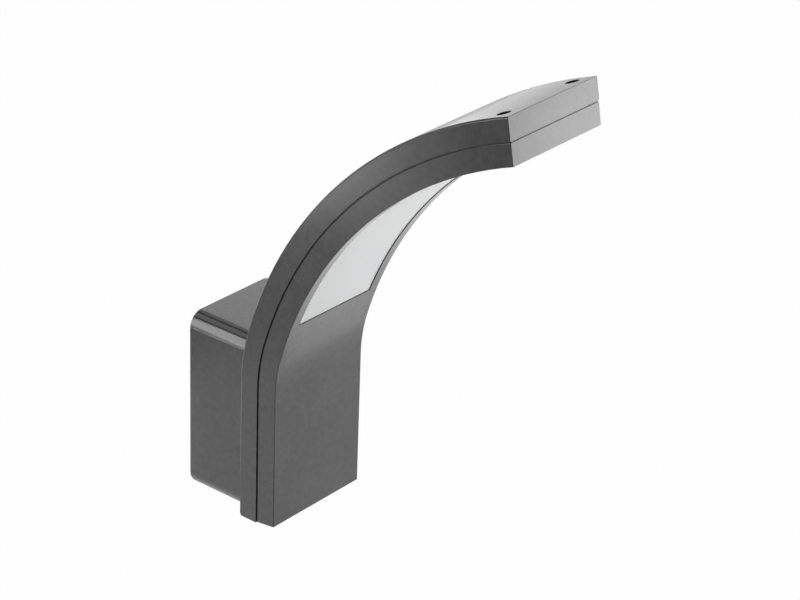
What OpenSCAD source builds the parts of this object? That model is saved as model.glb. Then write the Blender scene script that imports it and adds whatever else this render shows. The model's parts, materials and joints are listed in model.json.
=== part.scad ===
/* [Arm] */
// Width of the arm, across its rear shell
arm_w = 75; // [72:1:82]
// Depth of the rear shell, from its wall side to the parting line
rear_depth = 13.5; // [13:0.5:16]
// Depth of the front shell, from the parting line to its light side
front_depth = 12.5; // [12:0.5:15]
// How far the front shell stands in from the rear shell, at the sides and the foot
front_step = 0.5; // [0.2:0.1:0.8]
// Height of the straight foot of the arm
foot_h = 86.5; // [82:0.5:90]
// Outer radius of the first, tighter stretch of the bend
bend_r = 120; // [110:1:140]
// Outer radius of the second, flatter stretch of the bend
sweep_r = 275; // [265:1:290]
// Angle from the upright foot to the tip
tip_a = 70; // [69.5:0.5:74]
// Lean of the cut end face from plumb
cut_a = 10.5; // [7:0.5:14]
// Wall thickness of both shells
shell_wall = 3; // [2.6:0.1:3.4]
// Radius of the outer edges of the rear shell
rear_edge_r = 1; // [0.5:0.1:1.5]
// Radius of the outer edges of the front shell
front_edge_r = 0.3; // [0.3:0.1:1]
// How much higher the front shell ends at its light side than at the parting line, at the foot
foot_rise = 1.5; // [0:0.5:2]
// Radius of the lower rear corner of the arm
foot_corner_r = 2.5; // [1.5:0.5:4]
// Width of the shadow groove along the parting line
groove_w = 0.6; // [0.4:0.1:1]
// Depth of the shadow groove, at the sides and the foot
groove_d = 0.8; // [0.4:0.1:1]
// Depth of the shadow groove on the end face
end_groove_d = 0.3; // [0.2:0.1:0.5]

/* [Wall box] */
// Depth of the box, from the wall to the arm
box_depth = 41; // [40:1:50]
// Width of the box
box_w = 71; // [69:1:73]
// Height of the box
box_h = 113; // [108:1:118]
// Corner radius of the box
box_r = 9.5; // [6:0.5:12]
// Wall thickness of the box
box_wall = 3; // [2.6:0.1:3.4]
// How far the foot of the arm hangs below the box
foot_drop = 2.5; // [1:0.5:3]
// Depth of the rubber seal in the rim of the box
rim_seal_d = 3; // [2:0.5:4]
// Width of the outer lip of the rim, outside its seal
rim_lip = 1.2; // [1:0.1:1.5]

/* [Wall bracket] */
// Thickness of the bracket's steel sheet
sheet_t = 2; // [1.5:0.25:2.5]
// Space between the bracket and the side walls of the box
bracket_side_gap = 2.5; // [1.5:0.5:4]
// Space between the bracket's flanges and the end walls of the box
bracket_end_gap = 8; // [7:0.5:10]
// How far the upper flange of the bracket stands out from the wall
hook_reach = 14; // [12:1:16]
// Height of the hook's lip above the flange
hook_lip = 5; // [4:0.5:6]
// Width of the hook
hook_w = 32; // [24:1:36]
// How far the lower flange stands out from the wall
ledge_reach = 16; // [15:1:18]
// Distance between the wall screws, across
wall_hole_across = 40; // [34:1:42]
// Distance between the wall screws, up the wall
wall_hole_up = 72; // [60:1:76]
// Diameter of the wall screw holes
wall_hole_d = 5.2; // [4.5:0.1:6]
// Diameter of the hole for the supply bush
bush_d = 16; // [14:0.5:18]
// Bore of the supply bush
bush_bore = 10; // [8:0.5:11]
// How far the supply bush lies below the middle of the bracket
bush_drop = 20; // [16:1:26]

/* [Light] */
// Angle along the bend at which the window starts
window_start_a = 21.3; // [21.2:0.1:24]
// Angle along the bend at which the window ends
window_end_a = 63.5; // [60:0.5:64]
// Distance from the side of the arm to the window
window_margin = 7.5; // [7.5:0.25:9]
// How far the diffuser lies below the face of the front shell
lens_recess = 0.5; // [0.5:0.25:2]
// Gap between the diffuser and the edge of the window
lens_gap = 0.2; // [0.15:0.05:0.4]
// Thickness of the diffuser's flange
flange_t = 2; // [1.5:0.25:2.5]
// Width of the diffuser's flange outside the window
flange_w = 3; // [2.5:0.1:3.2]
// Thickness of the seal between the diffuser and the front shell
lens_seal_t = 0.6; // [0.4:0.1:1]
// Wall thickness of the light frame behind the diffuser
frame_wall = 2; // [1.5:0.25:2.5]
// Depth in the arm at which the light frame starts
frame_depth = 9.5; // [9:0.5:11]
// Depth in the arm of the rear face of the light boards
board_depth = 6; // [5.5:0.25:6.5]
// Width of a light board
board_w = 54; // [46:1:56]
// Length of a light board
board_l = 54; // [48:1:56]
// Thickness of a light board
board_t = 1.6; // [1:0.1:2]
// Thickness of the heat pad under a light board
heat_pad_t = 0.5; // [0.3:0.1:0.8]
// Side of a light chip
chip_w = 3; // [2.5:0.1:3.5]
// Height of a light chip
chip_h = 0.7; // [0.5:0.1:1]
// Number of chips along a board
chip_rows = 4; // [3:1:5]
// Number of chips across a board
chip_columns = 3; // [3:2:5]

/* [Driver and leads] */
// Length of the driver's case
driver_l = 56; // [50:1:60]
// Width of the driver's case
driver_w = 36; // [30:1:40]
// Height of the driver's case
driver_t = 14; // [12:0.5:14.5]
// Depth in the arm at which the driver is seated
driver_depth = 6; // [5.5:0.25:6.5]
// Height of the driver above the foot of the arm
driver_z = 23.5; // [22.5:0.5:25.5]
// Diameter of the sheathed lead from the terminal block to the driver
lamp_lead_d = 5; // [4.5:0.25:5.5]
// Diameter of a single lead
core_d = 1.4; // [1.2:0.1:1.6]
// Diameter of the hole for the lead's bush
lead_hole_d = 8; // [7.5:0.25:8.5]
// Height of the lead's bush above the foot of the arm
lead_hole_z = 11.5; // [11:0.25:12]

/* [Screws] */
// Diameter of the main screws
main_d = 4; // [3.5:0.25:4.5]
// Length of the screws that hold the box and both shells together
arm_screw_l = 25; // [24:0.5:25]
// Length of the screws at the tip
tip_screw_l = 16; // [13:0.5:16]
// Depth at which the heads of the tip screws are seated
tip_sink = 6; // [5:0.5:7]
// Distance of the tip screws from the sides of the arm
tip_screw_side = 9; // [8.5:0.1:10]
// Distance of the tip screws from the tip, along the outside of the bend
tip_screw_back = 7.5; // [7:0.25:9]
// Distance of the arm screws from the ends of the box
arm_screw_inset = 15; // [14:0.5:18]
// Diameter of the small screws
small_d = 3; // [2.5:0.25:3]

/* [Hidden] */
$fn = 48;
arc_fn = 360;
edge_fn = 24;
core_fn = 12;
edge_steps = 4;

// Small values that keep cuts clean and pieces apart
cut = 1;
spare_a = 5;
seat_gap = 0.1;
drop_gap = 0.3;

// Screw heads and holes, from the screws' diameters
head_ratio = 1.75;
head_h_ratio = 0.65;
drive_ratio = 0.7;
hole_play = 0.4;
sink_play = 0.5;
post_ratio = 2.2;
main_head = main_d * head_ratio;
main_head_h = main_d * head_h_ratio;
small_head = small_d * head_ratio;
small_head_h = small_d * head_h_ratio;
main_post = main_d * post_ratio;
small_post = small_d * post_ratio;

// The arm's own frame: rear face at y = 0, foot at z = 0, depth counted towards -y
arm_y = -box_depth;
arm_z = -box_h / 2 - foot_drop;
arm_half = arm_w / 2;
arm_depth = rear_depth + front_depth;
front_half = arm_half - front_step;
rear_room_half = arm_half - shell_wall;
front_room_half = front_half - shell_wall;
room_depth = arm_depth - shell_wall;
foot_slant_a = atan2(foot_rise, front_depth);

// The two stretches of the bend meet at the angle of a 7-24-25 triangle, so the joint has round coordinates
bend_cos = 24 / 25;
bend_sin = 7 / 25;
bend_a = atan2(bend_sin, bend_cos);
hub_y = (bend_r - sweep_r) * bend_cos - bend_r;
hub_z = foot_h + (bend_r - sweep_r) * bend_sin;
part_r = sweep_r - rear_depth;

// Seal between the shells, in a step inside the rim of the rear shell
seal_wall = 0.8;
seal_lip = groove_d + seal_wall;
seal_t = 1.4;

// Window, diffuser and light frame
window_half = arm_half - window_margin;
flange_depth = room_depth - lens_seal_t - flange_t;
flange_half = window_half + flange_w;
room_r = sweep_r - room_depth;
flange_start_a = window_start_a - turn(flange_w, room_r);
flange_end_a = window_end_a + turn(flange_w, room_r);
frame_half = window_half + frame_wall;
tab_l = 8;
tab_t = 2;
tab_screw_x = 18;
tab_start_a = flange_start_a - turn(tab_l, room_r);
tab_end_a = flange_end_a + turn(tab_l, room_r);
tab_screw_l = 6;

// Light boards, spread evenly along the window
board_pitch_a = (window_end_a - window_start_a) / 3;
board_a = [for (i = [0:2]) window_start_a + (i + 0.5) * board_pitch_a];
board_screw_side = 5;
board_screw_x = board_w / 2 - board_screw_side;
board_screw_l = 5;
pad_side = 5;
pad_depth = board_depth - heat_pad_t;
chip_pitch = 12;
socket_w = 8;
socket_l = 6;
socket_h = 3.2;
socket_back = 4;
core_x = 1.8;
core_depth = board_depth + board_t + 0.7;

// Driver
ear_l = 6;
ear_w = 14;
ear_t = 2;
driver_screw_l = 6;

// Arm screws, tied to the walls of the box or the seal between the shells, whichever is closer
arm_screw_side = 4.5;
seal_space = 2;
arm_screw_x = min(box_w / 2 - box_wall, rear_room_half - seal_space) - arm_screw_side;
arm_screw_z = box_h / 2 - arm_screw_inset;
box_floor_y = box_wall - box_depth;
tip_screw_x = arm_half - tip_screw_side;
tip_screw_a = tip_a - turn(tip_screw_back, sweep_r);

// Bracket, between the end walls of the box
bracket_w = box_w - 2 * box_wall - 2 * bracket_side_gap;
bracket_half_h = box_h / 2 - box_wall - bracket_end_gap;
fold_r = sheet_t + 1;
box_screw_x = 20;
box_screw_y = -(ledge_reach + fold_r) / 2;
box_screw_l = 12;
box_screw_sink = 3.2;
box_post_d = 10;
earth_x = 8;
earth_screw_end = 2;
rib_t = 2;

// Terminal block, on two posts of the box's front wall
block_w = 30;
block_h = 20;
block_t = 15;
block_z = 8;
block_post_h = 3;
block_ear_l = 7;
block_ear_t = 2;
block_y = box_floor_y + block_post_h;
block_screw_l = 6;
pole_pitch = 8;
clamp_d = 4;

// Route of the leads
lead_rise = 7;
lead_y = block_y + lead_rise;
lead_inner_depth = 14.5;
lead_bend = 6.5;
earth_lead_rise = 9;
earth_lead_y = block_y + earth_lead_rise;
earth_lead_d = 2.4;
earth_bend = 5;
lug_d = 8;
lug_t = 0.8;
barrel_d = 3.4;
barrel_l = 5;
bush_lip = 1.5;

metal = [0.34, 0.345, 0.35];
steel = [0.78, 0.79, 0.8];
opal = [0.93, 0.94, 0.95];
rubber = [0.12, 0.12, 0.12];
white = [0.95, 0.95, 0.94];
brass = [0.85, 0.7, 0.35];

// Angle that a length makes at a radius
function turn(length, radius) = length / radius * 180 / PI;

module in_arm() {
    translate([0, arm_y, arm_z])
        children();
}

// A section, drawn across the arm with its depth towards -y, swept on from z = 0, or back for an angle below 0
module stretch(radius, angle) {
    translate([0, -radius, 0])
        mirror([0, 0, angle < 0 ? 1 : 0])
            rotate([90, 0, 90])
                rotate_extrude(angle = abs(angle), $fn = arc_fn)
                    translate([radius, 0])
                        mirror([1, -1])
                            children();
}

// A section swept along the second stretch of the bend
module sweep_between(from_a, to_a) {
    at_bend(from_a, 0)
        stretch(sweep_r, to_a - from_a)
            children();
}

// A section swept up the foot and round both stretches of the bend, which are trimmed level with the foot
module run_along(low, to_a) {
    translate([0, 0, low])
        linear_extrude(foot_h - low)
            children();
    difference() {
        at_bend(bend_a, 0) {
            stretch(bend_r, -bend_a - spare_a)
                children();
            stretch(sweep_r, to_a - bend_a)
                children();
        }
        translate([-arm_w, -bend_r, foot_h - bend_r])
            cube([2 * arm_w, 2 * bend_r, bend_r]);
    }
}

// Everything past the cut end face, or past a plane set back from it
module past_tip(set_back) {
    reach = 90;
    translate([0, hub_y + part_r * cos(tip_a), hub_z + part_r * sin(tip_a)])
        rotate([-cut_a, 0, 0])
            translate([-arm_w, set_back - reach, -reach])
                cube([2 * arm_w, reach, 2 * reach]);
}

// A section swept along the whole arm, from a height at the foot to the end face or short of it
module along_arm(low, set_back) {
    difference() {
        run_along(low, tip_a + spare_a)
            children();
        past_tip(set_back);
    }
}

// A place on the second bend: x across, y outwards, z towards the tip
module at_bend(angle, depth) {
    translate([0, hub_y, hub_z])
        rotate([angle, 0, 0])
            translate([0, sweep_r - depth, 0])
                children();
}

// A flat band across the arm between two depths
module band(half_w, near, far) {
    translate([-half_w, -far])
        square([2 * half_w, far - near]);
}

// Points round a quarter circle
function quarter(x, y, r, from) =
    [for (i = [0:edge_steps]) [x + r * cos(from + 90 * i / edge_steps), y + r * sin(from + 90 * i / edge_steps)]];

// A band with rounded corners on its near and its far side
module soft_band(half_w, near, far, near_r, far_r) {
    polygon(concat(
        quarter(half_w - near_r, -near - near_r, near_r, 0),
        quarter(near_r - half_w, -near - near_r, near_r, 90),
        quarter(far_r - half_w, far_r - far, far_r, 180),
        quarter(half_w - far_r, far_r - far, far_r, 270)
    ));
}

// Rounded rectangle of the box, set in by some amount
module box_outline(inset) {
    w = box_w - 2 * inset;
    h = box_h - 2 * inset;
    r = max(box_r - inset, 1);
    square([w - 2 * r, h], center = true);
    square([w, h - 2 * r], center = true);
    for (x = [-1, 1], y = [-1, 1])
        translate([x * (w / 2 - r), y * (h / 2 - r)])
            circle(r);
}

// Prism of the box's outline, from one distance off the wall to another
module box_prism(inset, from_y, to_y) {
    translate([0, -from_y, 0])
        rotate([90, 0, 0])
            linear_extrude(to_y - from_y)
                box_outline(inset);
}

// A screw with its head above z = 0
module screw(d, l) {
    head_h = d * head_h_ratio;
    difference() {
        union() {
            cylinder(d = d * head_ratio, h = head_h);
            translate([0, 0, -l])
                cylinder(d = d, h = l);
        }
        translate([0, 0, head_h / 2])
            cylinder(d = d * drive_ratio, h = head_h, $fn = 6);
    }
}

// A plain rod along -y from the origin
module rod(d, l) {
    rotate([90, 0, 0])
        cylinder(d = d, h = l);
}

module arm_screw_places() {
    for (x = [-1, 1], z = [-1, 1])
        translate([x * arm_screw_x, box_floor_y, z * arm_screw_z])
            children();
}

module tip_screw_places(depth) {
    for (x = [-1, 1])
        at_bend(tip_screw_a, depth)
            translate([x * tip_screw_x, 0, 0])
                children();
}

module frame_screw_places(depth) {
    for (x = [-1, 1], angle = [tab_start_a + turn(tab_l / 2, room_r), tab_end_a - turn(tab_l / 2, room_r)])
        at_bend(angle, depth)
            translate([x * tab_screw_x, 0, 0])
                children();
}

module board_screw_places(depth) {
    for (angle = board_a, x = [-1, 1])
        at_bend(angle, depth)
            translate([x * board_screw_x, 0, 0])
                children();
}

module driver_screw_places(depth) {
    for (z = [driver_z - ear_l / 2, driver_z + driver_l + ear_l / 2])
        translate([0, -depth, z])
            children();
}

module terminal_screw_places() {
    for (x = [-1, 1])
        translate([x * (block_w + block_ear_l) / 2, block_y, block_z])
            children();
}

module box_screw_places(z) {
    for (x = [-1, 1])
        translate([x * box_screw_x, box_screw_y, z])
            children();
}

// Screw posts inside the arm, trimmed to one shell's depths
module arm_posts(near, far) {
    intersection() {
        union() {
            translate([0, -arm_y, -arm_z])
                arm_screw_places()
                    rod(main_post, box_wall + arm_depth + bend_r);
            tip_screw_places(0)
                rod(main_post, arm_depth);
        }
        along_arm(cut, shell_wall / 2)
            band(arm_half - shell_wall / 2, near, far);
    }
}

module rear_shell() {
    color(metal)
        in_arm()
            difference() {
                union() {
                    rear_casting();
                    arm_posts(shell_wall / 2, rear_depth);
                    for (angle = board_a)
                        at_bend(angle, pad_depth)
                            translate([-board_w / 2 + pad_side, 0, -board_l / 2 + pad_side])
                                cube([board_w - 2 * pad_side, pad_depth - shell_wall / 2, board_l - 2 * pad_side]);
                    driver_screw_places(driver_depth)
                        translate([0, driver_depth - shell_wall / 2, 0])
                            rod(small_post, driver_depth - shell_wall / 2);
                }
                rear_holes();
            }
}

// The rear casting without its posts: outer skin, groove lip, room and seal step
module rear_casting() {
    difference() {
        union() {
            along_arm(0, 0)
                soft_band(arm_half, 0, rear_depth - groove_w, rear_edge_r, front_edge_r);
            along_arm(groove_d, end_groove_d)
                band(arm_half - groove_d, rear_depth - 2 * groove_w, rear_depth);
        }
        along_arm(shell_wall, shell_wall)
            band(rear_room_half, shell_wall, rear_depth + cut);
        along_arm(seal_lip, seal_lip)
            band(arm_half - seal_lip, rear_depth - seal_t, rear_depth + cut);
        foot_corner();
    }
}

// Material outside the rounded lower rear corner
module foot_corner() {
    difference() {
        translate([-arm_w, -foot_corner_r, -cut])
            cube([2 * arm_w, foot_corner_r + cut, foot_corner_r + cut]);
        translate([-arm_w - cut, -foot_corner_r, foot_corner_r])
            rotate([0, 90, 0])
                cylinder(r = foot_corner_r, h = 2 * arm_w + 2 * cut);
    }
}

module rear_holes() {
    translate([0, -arm_y, -arm_z])
        arm_screw_places()
            rod(main_d + hole_play, box_wall + bend_r);
    tip_screw_places(-cut)
        rod(main_head + sink_play, tip_sink + cut);
    tip_screw_places(0)
        rod(main_d + hole_play, arm_depth);
    board_screw_places(board_depth + board_t)
        translate([0, board_screw_l, 0])
            rod(small_d, board_screw_l);
    driver_screw_places(driver_depth + ear_t)
        translate([0, driver_screw_l, 0])
            rod(small_d, driver_screw_l);
    translate([0, cut, lead_hole_z])
        rod(lead_hole_d, shell_wall + 2 * cut);
}

module front_shell() {
    color(metal)
        in_arm()
            difference() {
                union() {
                    front_casting();
                    arm_posts(rear_depth, arm_depth - shell_wall / 2);
                    frame_screw_places(flange_depth)
                        rod(small_post, arm_depth - shell_wall / 2 - flange_depth);
                }
                translate([0, -arm_y, -arm_z])
                    arm_screw_places()
                        rod(main_d, arm_screw_l);
                tip_screw_places(tip_sink)
                    rod(main_d, tip_screw_l);
                frame_screw_places(flange_depth - tab_t)
                    rod(small_d, tab_screw_l);
            }
}

// The front casting without its posts: outer skin, room and window
module front_casting() {
    difference() {
        along_arm(front_step, 0)
            soft_band(front_half, rear_depth, arm_depth, front_edge_r, front_edge_r);
        along_arm(front_step + foot_rise + shell_wall, shell_wall)
            band(front_room_half, rear_depth - cut, room_depth);
        sweep_between(window_start_a, window_end_a)
            band(window_half, rear_depth, arm_depth + cut);
        foot_slant();
    }
}

// Material below the front shell's lower end, which slants up from the parting line
module foot_slant() {
    translate([-arm_w, -rear_depth, front_step])
        rotate([-foot_slant_a, 0, 0])
            translate([0, -2 * front_depth, -front_depth])
                cube([2 * arm_w, 2 * front_depth, front_depth]);
}

module shell_seal() {
    color(rubber)
        in_arm()
            difference() {
                along_arm(seal_lip, seal_lip)
                    band(arm_half - seal_lip, rear_depth - seal_t, rear_depth);
                along_arm(shell_wall, shell_wall)
                    band(rear_room_half, rear_depth - 2 * seal_t, rear_depth + cut);
            }
}

module diffuser() {
    clear_a = turn(lens_gap, room_r);
    color(opal)
        in_arm() {
            sweep_between(flange_start_a, flange_end_a)
                band(flange_half, flange_depth, flange_depth + flange_t);
            sweep_between(window_start_a + clear_a, window_end_a - clear_a)
                band(window_half - lens_gap, flange_depth + flange_t, arm_depth - lens_recess);
        }
}

module diffuser_seal() {
    color(rubber)
        in_arm()
            difference() {
                sweep_between(flange_start_a, flange_end_a)
                    band(flange_half, room_depth - lens_seal_t, room_depth);
                sweep_between(window_start_a, window_end_a)
                    band(window_half, room_depth - 2 * lens_seal_t, room_depth + cut);
            }
}

// White frame round the light room, which presses the diffuser's flange on its seal
module light_frame() {
    wall_a = turn(frame_wall, room_r);
    color(white)
        in_arm()
            difference() {
                sweep_between(tab_start_a, tab_end_a)
                    band(frame_half, frame_depth, flange_depth);
                sweep_between(flange_start_a + wall_a, flange_end_a - wall_a)
                    band(window_half, frame_depth - cut, flange_depth + cut);
                sweep_between(tab_start_a - wall_a, flange_start_a)
                    band(arm_half, frame_depth - cut, flange_depth - tab_t);
                sweep_between(flange_end_a, tab_end_a + wall_a)
                    band(arm_half, frame_depth - cut, flange_depth - tab_t);
                frame_screw_places(flange_depth - 2 * tab_t)
                    rod(small_d + hole_play, 3 * tab_t);
            }
}

module frame_screws() {
    color(steel)
        in_arm()
            frame_screw_places(flange_depth - tab_t)
                rotate([-90, 0, 0])
                    screw(small_d, tab_screw_l);
}

module led_board(index) {
    color(white)
        in_arm()
            difference() {
                at_bend(board_a[index], board_depth)
                    translate([-board_w / 2, -board_t, -board_l / 2])
                        cube([board_w, board_t, board_l]);
                board_screw_places(board_depth - cut)
                    rod(small_d + hole_play, board_t + 2 * cut);
            }
}

module led_chips(index) {
    color([0.98, 0.9, 0.45])
        in_arm()
            at_bend(board_a[index], board_depth + board_t)
                for (row = [1:chip_rows], column = [1:chip_columns])
                    if (column != (chip_columns + 1) / 2 || (row > 1 && row < chip_rows))
                        translate([
                            (column - (chip_columns + 1) / 2) * chip_pitch - chip_w / 2,
                            -chip_h,
                            (row - (chip_rows + 1) / 2) * chip_pitch - chip_w / 2,
                        ])
                            cube([chip_w, chip_h, chip_w]);
}

module heat_pads() {
    color([0.55, 0.7, 0.85])
        in_arm()
            difference() {
                for (angle = board_a)
                    at_bend(angle, board_depth)
                        translate([-board_w / 2 + pad_side, 0, -board_l / 2 + pad_side])
                            cube([board_w - 2 * pad_side, heat_pad_t, board_l - 2 * pad_side]);
                board_screw_places(pad_depth - cut)
                    rod(small_d + hole_play, heat_pad_t + 2 * cut);
            }
}

module board_screws() {
    color(steel)
        in_arm()
            board_screw_places(board_depth + board_t)
                rotate([90, 0, 0])
                    screw(small_d, board_screw_l);
}

// Sockets at the ends of the boards; the last board has one at its lower end only
module board_sockets() {
    color(white)
        in_arm()
            difference() {
                for (i = [0:2], end = [-1, 1])
                    if (i < 2 || end < 0)
                        at_bend(board_a[i], board_depth + board_t)
                            translate([
                                -socket_w / 2,
                                -socket_h,
                                end * (board_l / 2 - socket_back) - socket_l / 2,
                            ])
                                cube([socket_w, socket_h, socket_l]);
                core_stubs();
            }
}

// Angle between the middle of a board and the outer face of its socket
socket_a = turn(board_l / 2 - socket_back + socket_l / 2, sweep_r - core_depth);
plug_a = turn(socket_l / 2, sweep_r - core_depth);

module core_pair(d) {
    for (side = [-1, 1])
        translate([side * core_x, -core_depth])
            circle(d = d, $fn = core_fn);
}

module core_stubs() {
    sweep_between(board_a[0] - board_pitch_a / 2, board_a[0] - socket_a + plug_a)
        core_pair(core_d);
    link_runs();
}

module link_runs() {
    for (i = [0:1])
        sweep_between(board_a[i] + socket_a - plug_a, board_a[i + 1] - socket_a + plug_a)
            core_pair(core_d);
}

module board_links() {
    color([0.75, 0.2, 0.15])
        in_arm()
            link_runs();
}

module driver_leads() {
    color([0.75, 0.2, 0.15])
        in_arm()
            run_along(driver_z + driver_l, board_a[0] - socket_a + plug_a)
                core_pair(core_d);
}

module led_driver() {
    color([0.9, 0.9, 0.88])
        in_arm()
            difference() {
                union() {
                    translate([-driver_w / 2, -driver_depth - driver_t, driver_z])
                        cube([driver_w, driver_t, driver_l]);
                    translate([-ear_w / 2, -driver_depth - ear_t, driver_z - ear_l])
                        cube([ear_w, ear_t, driver_l + 2 * ear_l]);
                }
                driver_screw_places(driver_depth - cut)
                    rod(small_d + hole_play, ear_t + 2 * cut);
            }
}

module driver_screws() {
    color(steel)
        in_arm()
            driver_screw_places(driver_depth + ear_t)
                rotate([90, 0, 0])
                    screw(small_d, driver_screw_l);
}

module wall_box() {
    color(metal)
        difference() {
            union() {
                difference() {
                    box_prism(0, 0, box_depth + arm_depth);
                    box_prism(box_wall, -cut, box_depth - box_wall);
                    box_prism(rim_lip, -cut, rim_seal_d);
                }
                box_screw_places(-box_h / 2)
                    cylinder(d = box_post_d, h = box_wall + bracket_end_gap);
                hook_rib();
                terminal_screw_places()
                    rod(small_post, block_post_h + box_wall / 2);
            }
            in_arm()
                run_along(-foot_drop - 2 * cut, tip_a)
                    band(arm_w, -seat_gap, arm_depth + 2 * cut);
            arm_screw_places()
                translate([0, cut, 0])
                    rod(main_d + hole_play, arm_depth);
            box_screw_places(-box_h / 2 - cut) {
                cylinder(d = main_d + hole_play, h = box_wall + bracket_end_gap + 2 * cut);
                cylinder(d = main_head + sink_play, h = box_screw_sink + cut);
            }
            terminal_screw_places()
                rod(small_d, block_screw_l - block_ear_t);
            in_arm()
                translate([0, box_wall + cut, lead_hole_z])
                    rod(lead_hole_d, box_wall + 2 * cut);
        }
}

// Rib under the top wall of the box, which drops behind the lip of the bracket's hook
module hook_rib() {
    rib_low = bracket_half_h + drop_gap;
    translate([-hook_w / 2, sheet_t + drop_gap - hook_reach, rib_low])
        cube([hook_w, rib_t, box_h / 2 - box_wall / 2 - rib_low]);
}

module wall_seal() {
    color(rubber)
        difference() {
            box_prism(rim_lip, 0, rim_seal_d);
            box_prism(box_wall, -cut, rim_seal_d + cut);
        }
}

// The bracket's sheet and one folded flange, drawn in the plane of the wall's normal and the upright
module folded_sheet(reach) {
    straight_h = bracket_half_h - fold_r;
    translate([-sheet_t, -straight_h])
        square([sheet_t, 2 * straight_h]);
    translate([-reach, bracket_half_h - sheet_t])
        square([reach - fold_r, sheet_t]);
    translate([-fold_r, bracket_half_h - fold_r])
        intersection() {
            difference() {
                circle(fold_r);
                circle(fold_r - sheet_t);
            }
            square(fold_r);
        }
}

// A drawn section turned into its place, with its width across the wall
module across_wall(width) {
    translate([-width / 2, 0, 0])
        rotate([90, 0, 90])
            linear_extrude(width)
                children();
}

module mounting_bracket() {
    color(steel)
        difference() {
            union() {
                across_wall(hook_w) {
                    folded_sheet(hook_reach);
                    translate([-hook_reach, bracket_half_h - sheet_t])
                        square([sheet_t, sheet_t + hook_lip]);
                }
                across_wall(bracket_w)
                    mirror([0, 1])
                        folded_sheet(ledge_reach);
            }
            for (x = [-1, 1], z = [-1, 1])
                translate([x * wall_hole_across / 2, cut, z * wall_hole_up / 2])
                    rod(wall_hole_d, sheet_t + 2 * cut);
            translate([0, cut, -bush_drop])
                rod(bush_d, sheet_t + 2 * cut);
            box_screw_places(-bracket_half_h - cut)
                cylinder(d = main_d, h = sheet_t + 2 * cut);
            translate([earth_x, box_screw_y, -bracket_half_h - cut])
                cylinder(d = main_d, h = sheet_t + 2 * cut);
        }
}

module box_screws() {
    color(steel)
        box_screw_places(-box_h / 2 + box_screw_sink)
            rotate([180, 0, 0])
                screw(main_d, box_screw_l);
}

module supply_bush() {
    color(rubber)
        translate([0, 0, -bush_drop])
            difference() {
                union() {
                    rod(bush_d, sheet_t + bush_lip);
                    translate([0, -sheet_t, 0])
                        rod(bush_d + 2 * bush_lip, bush_lip);
                }
                translate([0, cut, 0])
                    rod(bush_bore, sheet_t + bush_lip + 2 * cut);
            }
}

module terminal_block() {
    color(white)
        difference() {
            union() {
                translate([-block_w / 2, block_y, block_z - block_h / 2])
                    cube([block_w, block_t, block_h]);
                translate([-block_w / 2 - block_ear_l, block_y, block_z - block_h / 4])
                    cube([block_w + 2 * block_ear_l, block_ear_t, block_h / 2]);
            }
            terminal_screw_places()
                translate([0, block_ear_t + cut, 0])
                    rod(small_d + hole_play, block_ear_t + 2 * cut);
            for (pole = [-1:1], row = [-1, 1])
                translate([pole * pole_pitch, block_y + block_t + cut, block_z + row * block_h / 4])
                    rod(clamp_d + hole_play, block_t / 2 + cut);
        }
}

module terminal_clamps() {
    color(brass)
        for (pole = [-1:1], row = [-1, 1])
            translate([pole * pole_pitch, block_y + block_t / 2, block_z + row * block_h / 4])
                rotate([-90, 0, 0])
                    difference() {
                        cylinder(d = clamp_d, h = block_t / 2 - cut);
                        translate([-clamp_d, -core_d / 4, block_t / 2 - 2 * cut])
                            cube([2 * clamp_d, core_d / 2, 2 * cut]);
                    }
}

module terminal_screws() {
    color(steel)
        terminal_screw_places()
            translate([0, block_ear_t, 0])
                rotate([-90, 0, 0])
                    screw(small_d, block_screw_l);
}

module earth_stack(height) {
    translate([earth_x, box_screw_y, -bracket_half_h + sheet_t + height])
        children();
}

module earth_screw() {
    color(brass)
        earth_stack(2 * lug_t)
            screw(main_d, 2 * lug_t + sheet_t + earth_screw_end);
}

module earth_washer() {
    color(steel)
        earth_stack(lug_t)
            difference() {
                cylinder(d = lug_d, h = lug_t);
                translate([0, 0, -cut])
                    cylinder(d = main_d + hole_play, h = lug_t + 2 * cut);
            }
}

module earth_lug() {
    color(brass)
        earth_stack(0)
            difference() {
                union() {
                    cylinder(d = lug_d, h = lug_t);
                    translate([-barrel_d / 4, -lug_d / 2 - barrel_l / 2, 0])
                        cube([barrel_d / 2, lug_d / 2, lug_t]);
                    translate([0, -lug_d / 2, barrel_d / 2])
                        rod(barrel_d, barrel_l);
                }
                translate([0, 0, -cut])
                    cylinder(d = main_d + hole_play, h = lug_t + 2 * cut);
                translate([0, -lug_d / 2 + cut, barrel_d / 2])
                    rod(earth_lead_d, barrel_l + 2 * cut);
            }
}

// A round lead through corner points in the plane of the wall's normal and the upright,
// with square corners rounded to a bend radius
module lead(points, d, bend) {
    last = len(points) - 1;
    for (i = [0:last - 1]) {
        step = points[i + 1] - points[i];
        ahead = step / norm(step);
        start = points[i] + ahead * (i > 0 ? bend : 0);
        stop = points[i + 1] - ahead * (i < last - 1 ? bend : 0);
        translate([0, start[0], start[1]])
            rotate([atan2(-ahead[0], ahead[1]), 0, 0])
                cylinder(d = d, h = norm(stop - start));
        if (i < last - 1)
            elbow(points[i + 1], ahead, points[i + 2] - points[i + 1], d, bend);
    }
}

// Quarter turn at a corner, from one direction into the next
module elbow(corner, ahead, next_step, d, bend) {
    next = next_step / norm(next_step);
    centre = corner + (next - ahead) * bend;
    left = ahead[0] * next[1] - ahead[1] * next[0] > 0;
    from = left ? -next : ahead;
    translate([0, centre[0], centre[1]])
        rotate([atan2(from[1], from[0]), 0, 0])
            rotate([90, 0, 90])
                rotate_extrude(angle = 90)
                    translate([bend, 0])
                        circle(d = d, $fn = edge_fn);
}

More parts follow.
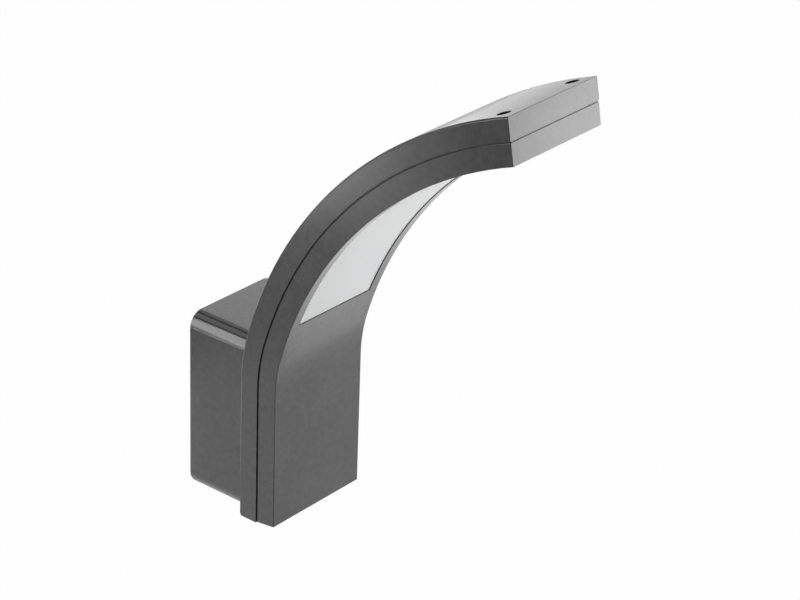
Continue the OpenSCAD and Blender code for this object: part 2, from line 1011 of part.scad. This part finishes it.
module lamp_lead() {
    bush_z = arm_z + lead_hole_z;
    inner_y = arm_y - lead_inner_depth;
    color(rubber)
        lead([
            [lead_y, block_z - block_h / 2],
            [lead_y, bush_z],
            [inner_y, bush_z],
            [inner_y, arm_z + driver_z],
        ], lamp_lead_d, lead_bend);
}

module earth_lead() {
    lug_z = -bracket_half_h + sheet_t + barrel_d / 2;
    color([0.35, 0.6, 0.2])
        translate([earth_x, 0, 0])
            lead([
                [earth_lead_y, block_z - block_h / 2],
                [earth_lead_y, lug_z],
                [box_screw_y - lug_d / 2 - cut, lug_z],
            ], earth_lead_d, earth_bend);
}

module lead_bush() {
    thick = box_wall + shell_wall;
    color(rubber)
        in_arm()
            translate([0, box_wall, lead_hole_z])
                difference() {
                    union() {
                        rod(lead_hole_d, thick);
                        translate([0, bush_lip, 0])
                            rod(lead_hole_d + 2 * bush_lip, bush_lip);
                        translate([0, -thick, 0])
                            rod(lead_hole_d + 2 * bush_lip, bush_lip);
                    }
                    translate([0, bush_lip + cut, 0])
                        rod(lamp_lead_d, thick + 2 * bush_lip + 2 * cut);
                }
}

module arm_screws() {
    color(steel)
        arm_screw_places()
            rotate([-90, 0, 0])
                screw(main_d, arm_screw_l);
}

module tip_screws() {
    color(steel)
        in_arm()
            tip_screw_places(tip_sink)
                rotate([-90, 0, 0])
                    screw(main_d, tip_screw_l);
}

wall_box();
wall_seal();
mounting_bracket();
box_screws();
supply_bush();
terminal_block();
terminal_clamps();
terminal_screws();
earth_screw();
earth_washer();
earth_lug();
earth_lead();
lamp_lead();
lead_bush();
rear_shell();
front_shell();
shell_seal();
arm_screws();
tip_screws();
diffuser();
diffuser_seal();
light_frame();
frame_screws();
led_board(0);  // led_board_lower
led_board(1);  // led_board_middle
led_board(2);  // led_board_upper
led_chips(0);  // led_chips_lower
led_chips(1);  // led_chips_middle
led_chips(2);  // led_chips_upper
heat_pads();
board_screws();
board_sockets();
board_links();
driver_leads();
led_driver();
driver_screws();
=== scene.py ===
import json
import math

import bmesh
import bpy
from mathutils import Matrix, Vector
from mathutils.bvhtree import BVHTree


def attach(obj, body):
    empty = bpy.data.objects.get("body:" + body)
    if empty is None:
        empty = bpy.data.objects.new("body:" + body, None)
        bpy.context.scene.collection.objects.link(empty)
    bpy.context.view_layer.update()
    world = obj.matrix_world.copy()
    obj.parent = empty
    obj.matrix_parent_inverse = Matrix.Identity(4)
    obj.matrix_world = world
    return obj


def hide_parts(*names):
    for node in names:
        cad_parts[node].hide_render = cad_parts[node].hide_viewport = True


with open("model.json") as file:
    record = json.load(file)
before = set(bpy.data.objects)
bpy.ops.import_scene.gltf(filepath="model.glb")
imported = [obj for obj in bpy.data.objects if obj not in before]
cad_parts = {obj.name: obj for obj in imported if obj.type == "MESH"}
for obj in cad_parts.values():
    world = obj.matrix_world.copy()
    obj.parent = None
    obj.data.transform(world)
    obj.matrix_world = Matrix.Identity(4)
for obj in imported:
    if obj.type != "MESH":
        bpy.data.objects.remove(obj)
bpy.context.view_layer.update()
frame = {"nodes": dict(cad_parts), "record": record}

MM = 0.001


# Shader nodes, written as expressions


class Value:
    """A number on a socket; arithmetic with it adds Math nodes to its finish."""

    def __init__(self, finish, socket):
        self.finish = finish
        self.socket = socket

    def math(self, operation, *inputs):
        return self.finish.node("ShaderNodeMath", {"operation": operation}, inputs)

    def __add__(self, other):
        return self.math("ADD", self, other)

    def __sub__(self, other):
        return self.math("SUBTRACT", self, other)

    def __rsub__(self, other):
        return self.math("SUBTRACT", other, self)

    def __mul__(self, other):
        return self.math("MULTIPLY", self, other)

    __radd__ = __add__

    def largest(self, other):
        return self.math("MAXIMUM", self, other)

    def spread(self, low, high):
        """0 at low, 1 at high, smooth between them."""
        settings = {"interpolation_type": "SMOOTHSTEP"}
        inputs = {"Value": self, "From Min": low, "From Max": high}
        return self.finish.node("ShaderNodeMapRange", settings, inputs)


class Finish:
    """A material whose nodes are added by expressions; what is the same all over is set at once."""

    # The sockets of a Mix node that hold its two colours, and the mixed one
    FIRST_COLOUR, SECOND_COLOUR, MIXED_COLOUR = 6, 7, 2

    def __init__(self, name, **same):
        self.material = bpy.data.materials.new(name)
        self.material.use_nodes = True
        self.nodes = self.material.node_tree.nodes
        self.links = self.material.node_tree.links
        self.shader = self.nodes["Principled BSDF"]
        for socket, value in same.items():
            self.shader.inputs[socket.replace("_", " ")].default_value = value

    def node(self, kind, settings=None, inputs=(), output=0):
        made = self.nodes.new(kind)
        for name, value in (settings or {}).items():
            setattr(made, name, value)
        pairs = inputs.items() if isinstance(inputs, dict) else enumerate(inputs)
        for key, value in pairs:
            if isinstance(value, Value):
                self.links.new(value.socket, made.inputs[key])
            else:
                made.inputs[key].default_value = value
        return Value(self, made.outputs[output])

    def place(self):
        """The point in the lamp's own frame, in metres."""
        return self.node("ShaderNodeTexCoord", output="Object")

    def noise(self, place, size, detail=2.0, roughness=0.5):
        """Clouds of about that size, in metres."""
        inputs = {"Vector": place, "Scale": 1 / size, "Detail": detail, "Roughness": roughness}
        return self.node("ShaderNodeTexNoise", inputs=inputs, output="Fac")

    def waves(self, place, direction, scale, distortion=0.0):
        """Even stripes that follow one another in that direction."""
        inputs = {"Vector": place, "Scale": scale, "Distortion": distortion}
        return self.node("ShaderNodeTexWave", {"bands_direction": direction}, inputs)

    def mix(self, share, first, second):
        """From the first colour at 0 to the second at 1."""
        inputs = {"Factor": share, self.FIRST_COLOUR: first, self.SECOND_COLOUR: second}
        return self.node("ShaderNodeMix", {"data_type": "RGBA"}, inputs, self.MIXED_COLOUR)

    def streaks(self, place, stretch, size):
        """Noise drawn out along the axis of least stretch."""
        drawn = self.node("ShaderNodeMapping", inputs={"Vector": place, "Scale": stretch})
        return self.noise(drawn, size, detail=3.0)

    def mark(self, name):
        """A mark that was left on the mesh, from 0 to 1."""
        return self.node("ShaderNodeAttribute", {"attribute_name": name}, output="Fac")

    def bump(self, height, strength, distance):
        """A normal that follows the height, raised by the distance at a height of 1."""
        inputs = {"Strength": strength, "Distance": distance, "Height": height}
        return self.node("ShaderNodeBump", inputs=inputs)

    def feed(self, **varied):
        """Links what changes over the surface to the shader's sockets."""
        for socket, value in varied.items():
            self.links.new(value.socket, self.shader.inputs[socket.replace("_", " ")])


def grey(level, tint=0.0):
    """A grey, turned to blue by the tint."""
    return (level * (1 - tint), level, level * (1 + tint), 1)


# Copies of the castings and mouldings, with their outer edges eased

# The layer that marks the eased faces, the facets across an easing, and its width by node
EASED_MARK = "eased"
EASED_STEPS = 3
EASED_WIDTHS = {
    "rear_shell": 0.25 * MM,
    "front_shell": 0.15 * MM,
    "wall_box": 0.25 * MM,
    "diffuser": 0.15 * MM,
    "mounting_bracket": 0.2 * MM,
    "light_frame": 0.2 * MM,
    "terminal_block": 0.3 * MM,
    "led_driver": 0.5 * MM,
}

# Corners nearer than WELD are one corner. Faces that turn less than FLAT_TURN are one face,
# and from SHARP_TURN on their edge is sharp.
WELD = 0.002 * MM
FLAT_TURN = math.radians(0.3)
SHARP_TURN = math.radians(35)

# How far off an edge the search for open air starts
CLEAR_LIFT = 0.05 * MM


def open_edges(mesh):
    """The sharp edges that stand outward into open air."""
    tree = BVHTree.FromBMesh(mesh)
    found = []
    for edge in mesh.edges:
        if not (edge.is_manifold and edge.is_convex) or edge.calc_face_angle() < SHARP_TURN:
            continue
        first, second = edge.link_faces
        outward = (first.normal + second.normal).normalized()
        middle = (edge.verts[0].co + edge.verts[1].co) / 2
        if tree.ray_cast(middle + outward * CLEAR_LIFT, outward)[0] is None:
            found.append(edge)
    return found


def object_of(name, mesh, finish):
    """Puts the built mesh in the scene under that name, in that finish."""
    data = bpy.data.meshes.new(name)
    mesh.to_mesh(data)
    mesh.free()
    made = bpy.data.objects.new(name, data)
    bpy.context.scene.collection.objects.link(made)
    data.materials.append(finish)
    return made


def corners_of(points):
    """The lowest and the highest value on each axis."""
    axes = list(zip(*points))
    return [min(axis) for axis in axes], [max(axis) for axis in axes]


def eased_copy(name, width):
    """Stands for a node, inside its box, with its open edges rounded and marked for wear and for a
    painted edge highlight.
    """
    mesh = bmesh.new()
    mesh.from_mesh(frame["nodes"][name].data)
    low, high = corners_of(vert.co for vert in mesh.verts)
    bmesh.ops.remove_doubles(mesh, verts=mesh.verts, dist=WELD)
    bmesh.ops.dissolve_limit(mesh, angle_limit=FLAT_TURN, verts=mesh.verts, edges=mesh.edges)
    mark = mesh.faces.layers.float.new(EASED_MARK)
    rounded = bmesh.ops.bevel(
        mesh,
        geom=open_edges(mesh),
        offset=width,
        segments=EASED_STEPS,
        profile=0.5,
        affect="EDGES",
        clamp_overlap=False,
    )
    for face in rounded["faces"]:
        face[mark] = 1
    for vert in mesh.verts:
        vert.co = [min(max(at, least), most) for at, least, most in zip(vert.co, low, high)]
    for face in mesh.faces:
        face.smooth = True
    for edge in mesh.edges:
        edge.smooth = edge.is_manifold and edge.calc_face_angle() < SHARP_TURN
    piece = object_of(name + "_eased", mesh, finishes[slots[name]])
    level = piece.modifiers.new("flat faces stay flat", "WEIGHTED_NORMAL")
    level.keep_sharp = True
    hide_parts(name)
    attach(piece, "root")


# Finishes

# Base greys of the coat and the opal sheet, from cloud to cloud
COAT_DARK = 0.056
COAT_PALE = 0.084
COAT_TINT = 0.01
COAT_WORN = 0.2
# The pale grey of the coat's edges, for rubbed wear and a painted highlight
COAT_EDGE_WEAR_AND_HIGHLIGHT = 0.22
OPAL_DARK = 0.94
OPAL_PALE = 0.98
OPAL_TINT = 0.008


def powder_coat():
    """Satin coat over cast metal: grain, faint orange peel, specks, hairlines, and edges painted
    paler, partly as rubbed wear and partly as a painted highlight.
    """
    finish = Finish("powder_coat", Specular_IOR_Level=0.75)
    place = finish.place()
    cloud = finish.noise(place, 45 * MM, detail=3.0)
    mottle = finish.noise(place, 4 * MM, detail=3.0, roughness=0.6)
    grain = finish.noise(place, 0.55 * MM, detail=3.0, roughness=0.6)
    skin = finish.noise(place, 1.6 * MM)
    tone = (cloud * 0.5 + mottle * 0.5).spread(0.35, 0.65)
    speck = finish.noise(place, 0.3 * MM, detail=1.0).spread(0.56, 0.75)
    edge_patches = finish.noise(place, 9 * MM, detail=3.0).spread(0.35, 0.65)
    # Edges painted paler in patches: partly rubbed wear, partly a painted highlight along the eased
    # edges
    pale_edges = finish.mark(EASED_MARK) * edge_patches
    hairline = finish.streaks(place, (60, 1, 9), 40 * MM).spread(0.74, 0.78)
    worn = grey(COAT_WORN, COAT_TINT)
    shade = finish.mix(tone, grey(COAT_DARK, COAT_TINT), grey(COAT_PALE, COAT_TINT))
    shade = finish.mix(speck * 0.25, shade, worn)
    shade = finish.mix(hairline * 0.03, shade, worn)
    shade = finish.mix(pale_edges * 0.45, shade, grey(COAT_EDGE_WEAR_AND_HIGHLIGHT, COAT_TINT))
    height = grain * 0.6 + skin * 0.4
    finish.feed(
        Base_Color=shade,
        Roughness=0.12 + grain * 0.08 + tone * 0.03 - pale_edges * 0.04,
        Normal=finish.bump(height, 0.16, 0.03 * MM),
    )
    return finish.material


def opal_plastic():
    """Milky sheet with a satin face and a little dust on it."""
    finish = Finish("opal_plastic", Specular_IOR_Level=0.45)
    place = finish.place()
    cloud = finish.noise(place, 60 * MM)
    haze = finish.noise(place, 0.8 * MM)
    dust = finish.noise(place, 0.5 * MM, detail=1.0).spread(0.7, 0.8)
    shade = finish.mix(cloud, grey(OPAL_DARK, OPAL_TINT), grey(OPAL_PALE, OPAL_TINT))
    finish.feed(
        Base_Color=finish.mix(dust * 0.3, shade, grey(0.6)),
        Roughness=0.38 + haze * 0.12,
        Normal=finish.bump(haze, 0.15, 0.03 * MM),
    )
    return finish.material


def zinc_plate():
    """Bright plated steel: drawn lines, cloudy stains and a little warm and cool tint."""
    cool, warm, stained = (0.6, 0.61, 0.66, 1), (0.68, 0.66, 0.6, 1), grey(0.42, 0.02)
    finish = Finish("zinc_plate")
    place = finish.place()
    stain = finish.noise(place, 14 * MM, detail=4.0, roughness=0.6)
    drawn = finish.streaks(place, (1, 14, 14), 1.2 * MM)
    tint = finish.noise(place, 30 * MM).spread(0.35, 0.65)
    plate = finish.mix(tint, cool, warm)
    finish.feed(
        Base_Color=finish.mix(stain * 0.7, plate, stained),
        Roughness=0.26 + stain * 0.2 + drawn * 0.08,
        Metallic=1 - stain * 0.1,
        Normal=finish.bump(drawn, 0.12, 0.02 * MM),
    )
    return finish.material


def turned_brass():
    """Brass with fine tool marks, dulled in patches."""
    bright, dull = (0.75, 0.56, 0.24, 1), (0.4, 0.27, 0.12, 1)
    finish = Finish("turned_brass")
    place = finish.place()
    tarnish = finish.noise(place, 5 * MM, detail=4.0, roughness=0.6).spread(0.4, 0.75)
    turned = finish.noise(place, 0.25 * MM)
    finish.feed(
        Base_Color=finish.mix(tarnish * 0.7, bright, dull),
        Roughness=0.22 + tarnish * 0.25,
        Metallic=1 - tarnish * 0.15,
        Normal=finish.bump(turned, 0.15, 0.01 * MM),
    )
    return finish.material


def moulded_plastic(name, dark, pale, gloss, spark=0.35 * MM):
    """Moulded plastic with a spark-eroded face, flow clouds, and edges rubbed pale."""
    finish = Finish(name, Specular_IOR_Level=0.5)
    place = finish.place()
    flow = finish.noise(place, 12 * MM, detail=3.0, roughness=0.6)
    grain = finish.noise(place, spark)
    pale_edges = finish.mark(EASED_MARK)
    shade = finish.mix(flow, dark, pale)
    finish.feed(
        Base_Color=finish.mix(pale_edges * 0.25, shade, pale),
        Roughness=gloss + grain * 0.12 - pale_edges * 0.05,
        Normal=finish.bump(grain, 0.2, 0.03 * MM),
    )
    return finish.material


def white_board():
    """White solder mask, raised where copper tracks run below it."""
    cool, warm, tracked = (0.78, 0.79, 0.76, 1), (0.86, 0.86, 0.83, 1), (0.7, 0.68, 0.58, 1)
    finish = Finish("white_board", Specular_IOR_Level=0.5)
    place = finish.place()
    track = finish.waves(place, "X", 60, distortion=1.5).spread(0.45, 0.55)
    flow = finish.noise(place, 6 * MM, detail=3.0)
    shade = finish.mix(flow, cool, warm)
    finish.feed(
        Base_Color=finish.mix(track * 0.3, shade, tracked),
        Roughness=0.3 + flow * 0.1,
        Normal=finish.bump(track * 0.7 + flow * 0.1, 0.5, 0.04 * MM),
    )
    return finish.material


def yellow_phosphor():
    """Grainy yellow drop over a light chip, paler in clouds."""
    deep, light, milky = (0.78, 0.55, 0.1, 1), (0.9, 0.72, 0.2, 1), (0.95, 0.85, 0.5, 1)
    finish = Finish("yellow_phosphor", Specular_IOR_Level=0.5)
    place = finish.place()
    grain = finish.noise(place, 0.2 * MM)
    cloud = finish.noise(place, 2 * MM)
    shade = finish.mix(grain, deep, light)
    finish.feed(
        Base_Color=finish.mix(cloud * 0.3, shade, milky),
        Roughness=0.2 + grain * 0.15,
        Normal=finish.bump(cloud, 0.1, 0.02 * MM),
    )
    return finish.material


def soft_pad():
    """Soft heat pad with glass fibres crossing in it."""
    deep, light, fibre = (0.3, 0.42, 0.55, 1), (0.4, 0.52, 0.64, 1), (0.55, 0.65, 0.74, 1)
    fibres = 300
    finish = Finish("soft_pad", Specular_IOR_Level=0.3)
    place = finish.place()
    weave = finish.waves(place, "X", fibres).largest(finish.waves(place, "Z", fibres))
    cloud = finish.noise(place, 8 * MM, detail=3.0)
    shade = finish.mix(cloud, deep, light)
    finish.feed(
        Base_Color=finish.mix(weave * 0.2, shade, fibre),
        Roughness=0.6 + weave * 0.15,
        Normal=finish.bump(weave, 0.3, 0.04 * MM),
    )
    return finish.material


def black_rubber():
    """Moulded rubber with pale dust lying on it."""
    finish = Finish("black_rubber", Specular_IOR_Level=0.3)
    place = finish.place()
    dust = finish.noise(place, 6 * MM, detail=3.0).spread(0.45, 0.8)
    grain = finish.noise(place, 0.4 * MM)
    finish.feed(
        Base_Color=finish.mix(dust * 0.4, grey(0.018), grey(0.05)),
        Roughness=0.7 + grain * 0.15,
        Normal=finish.bump(grain, 0.2, 0.04 * MM),
    )
    return finish.material


def striped_sleeve():
    """Green sleeve with a yellow stripe winding along it."""
    green, yellow = (0.05, 0.3, 0.06, 1), (0.75, 0.62, 0.05, 1)
    finish = Finish("striped_sleeve", Specular_IOR_Level=0.45)
    place = finish.place()
    stripe = finish.waves(place, "DIAGONAL", 70).spread(0.55, 0.62)
    scuff = finish.noise(place, 2 * MM, detail=3.0)
    shade = finish.mix(stripe, green, yellow)
    finish.feed(
        Base_Color=finish.mix(scuff * 0.2, shade, grey(0.2)),
        Roughness=0.35 + scuff * 0.15,
        Normal=finish.bump(scuff, 0.15, 0.03 * MM),
    )
    return finish.material


# The share of the floor that the camera sees as plain white; the rest keeps its shadow
FLOOR_GLOW = 0.98


def pale_floor():
    """White to the camera and through clear parts, with a trace of the lamp's shadow in it."""
    finish = Finish("pale_floor", Roughness=0.9, Base_Color=grey(0.8))
    straight = finish.node("ShaderNodeLightPath", output="Is Camera Ray")
    through = finish.node("ShaderNodeLightPath", output="Is Transmission Ray")
    glow = finish.node("ShaderNodeEmission", inputs={"Color": grey(1)}, output="Emission")
    lit = Value(finish, finish.shader.outputs["BSDF"])
    share = straight.largest(through) * FLOOR_GLOW
    mixed = finish.node("ShaderNodeMixShader", inputs=(share, lit, glow))
    finish.links.new(mixed.socket, finish.nodes["Material Output"].inputs["Surface"])
    return finish.material


RED_DEEP, RED_LIGHT = (0.36, 0.02, 0.015, 1), (0.5, 0.04, 0.03, 1)

slots = {part["node"]: part["material_slot"] for part in frame["record"]["subparts"]}
finishes = {
    "shell_paint": powder_coat(),
    "opal": opal_plastic(),
    "zinc_steel": zinc_plate(),
    "brass": turned_brass(),
    "white_plastic": moulded_plastic("white_plastic", grey(0.74), grey(0.82), gloss=0.38),
    "board": white_board(),
    "chip": yellow_phosphor(),
    "heat_pad": soft_pad(),
    "rubber": black_rubber(),
    "driver_case": moulded_plastic(
        "driver_case", grey(0.6), grey(0.68), gloss=0.45, spark=0.6 * MM
    ),
    "lead_black": moulded_plastic("black_sleeve", grey(0.018), grey(0.03), gloss=0.4),
    "lead_red": moulded_plastic("red_sleeve", RED_DEEP, RED_LIGHT, gloss=0.35),
    "lead_green": striped_sleeve(),
}

for name, node in frame["nodes"].items():
    node.material_slots[0].material = finishes[slots[name]]

for name, width in EASED_WIDTHS.items():
    eased_copy(name, width)


# Camera, at the photograph's viewing angle

EYE = Vector((-1.03219, -0.95317, 0.7668))
EYE_RIGHT = Vector((0.638791, -0.768677, 0.0329))
EYE_UP = Vector((0.329228, 0.311747, 0.891304))
LENS = 122.54  # mm
SENSOR_WIDTH = 36  # mm


def standing_at(place, right, up, back):
    """The matrix of a thing at a place, from where its right side, its top and its back point."""
    return Matrix.Translation(place) @ Matrix((right, up, back)).transposed().to_4x4()


camera = bpy.data.objects.new("camera", bpy.data.cameras.new("camera"))
camera.data.lens = LENS
camera.data.sensor_width = SENSOR_WIDTH
camera.matrix_world = standing_at(EYE, EYE_RIGHT, EYE_UP, EYE_RIGHT.cross(EYE_UP))
bpy.context.scene.collection.objects.link(camera)
bpy.context.scene.camera = camera


# Studio light

LAMP_MIDDLE = (0, -0.1, 0.09)
LEVEL_AIM = (0, -0.1, 0.25)
FLOOR_Z = -0.25
GLOW_Z = FLOOR_Z + 0.01
UP = (0, 0, 1)


def panel(name, place, aim, size, power, along=UP):
    """A flat soft light, wide by tall, that faces a point; its height lies along a direction."""
    light = bpy.data.objects.new(name, bpy.data.lights.new(name, "AREA"))
    light.data.shape = "RECTANGLE"
    light.data.size, light.data.size_y = size
    light.data.energy = power
    back = (Vector(place) - Vector(aim)).normalized()
    right = Vector(along).cross(back).normalized()
    light.matrix_world = standing_at(place, right, back.cross(right), back)
    light.visible_camera = False
    bpy.context.scene.collection.objects.link(light)


def around(azimuth, height, distance=1.7):
    """A place round the lamp; azimuth 0 is in front of it and 90 on its right."""
    turn = math.radians(azimuth)
    x, y = distance * math.sin(turn), LAMP_MIDDLE[1] - distance * math.cos(turn)
    return (x, y, height)


WIDE = (0.9, 1.0)

# Name, place, aim, width and height in metres, power in watts
for name, place, aim, size, power in (
    ("light_right_front", around(60, 0.25), LEVEL_AIM, WIDE, 14.7),
    ("light_right", around(120, 0.25), LEVEL_AIM, WIDE, 2.9),
    ("light_right_back", around(145, 0.25), LEVEL_AIM, WIDE, 1.3),
    ("light_front_low", around(30, -0.12, 1.5), (0, -0.1, -0.05), (0.9, 0.25), 1.7),
    ("light_right_low", around(75, 0), (0, -0.1, 0), (0.7, 0.4), 9.5),
    ("light_high_right", around(128, 0.95, 1.4), LAMP_MIDDLE, (0.8, 0.8), 2.8),
    ("light_high_back", (-0.3, 0.9, 1.5), LAMP_MIDDLE, (0.8, 0.8), 2.3),
    ("light_high_gap", (0.5, 0.95, 1.3), (0, 0, 0.05), (0.35, 0.35), 0.42),
    ("light_behind", around(185, 0.35), LEVEL_AIM, WIDE, 4),
    ("light_left_back", around(228, 0.55), LAMP_MIDDLE, (0.5, 1.5), 2),
):
    panel(name, place, aim, size, power)

# A long strip that leans with the bright band on the box's upper edge
STRIP_PLACE = (-1.116, 0.873, 0.418)
STRIP_AIM = (-0.03, -0.02, 0.05)
STRIP_LEAN = (0.36, 0, 0.93)
panel("light_left_strip", STRIP_PLACE, STRIP_AIM, (0.15, 1.42), 3.7, STRIP_LEAN)

# Small square panels just above the floor, where a bright floor would show in the coat:
# name, x, y and side in metres, power in watts
for name, x, y, side, power in (
    ("floor_glow_left", -0.3, 0.2, 0.3, 0.2),
    ("floor_glow_below", -0.06, 0.1, 0.18, 0.07),
    ("floor_glow_left_mid", -0.53, 0.36, 0.15, 0.022),
    ("floor_glow_left_far", -0.73, 0.43, 0.13, 0.07),
    ("floor_glow_left_edge", -0.75, 0.56, 0.12, 0.42),
    ("floor_glow_back", 0, 0.65, 0.7, 1.7),
    ("floor_glow_front", 0.36, -0.42, 0.4, 0.28),
    ("floor_glow_front_far", 0.78, -0.5, 0.4, 1),
    ("floor_glow_right", 0.42, -0.035, 0.37, 0.37),
):
    panel(name, (x, y, GLOW_Z), (x, y, 1), (side, side), power, along=(0, 1, 0))


# Floor and backdrop

FLOOR_REACH = 3
mesh = bmesh.new()
for x, y in ((-1, -1), (1, -1), (1, 1), (-1, 1)):
    mesh.verts.new((x * FLOOR_REACH, y * FLOOR_REACH, FLOOR_Z))
mesh.faces.new(mesh.verts)
floor = object_of("floor", mesh, pale_floor())

# White to the camera, a faint fill to the lamp
WORLD_FILL = 0.02
world = bpy.data.worlds.new("studio")
world.use_nodes = True
bpy.context.scene.world = world
background = world.node_tree.nodes["Background"]
background.inputs["Color"].default_value = grey(1)
ray = world.node_tree.nodes.new("ShaderNodeLightPath")
strength = world.node_tree.nodes.new("ShaderNodeMath")
strength.operation = "MAXIMUM"
strength.inputs[1].default_value = WORLD_FILL
world.node_tree.links.new(ray.outputs["Is Camera Ray"], strength.inputs[0])
world.node_tree.links.new(strength.outputs["Value"], background.inputs["Strength"])

bpy.context.scene.view_settings.view_transform = "Standard"
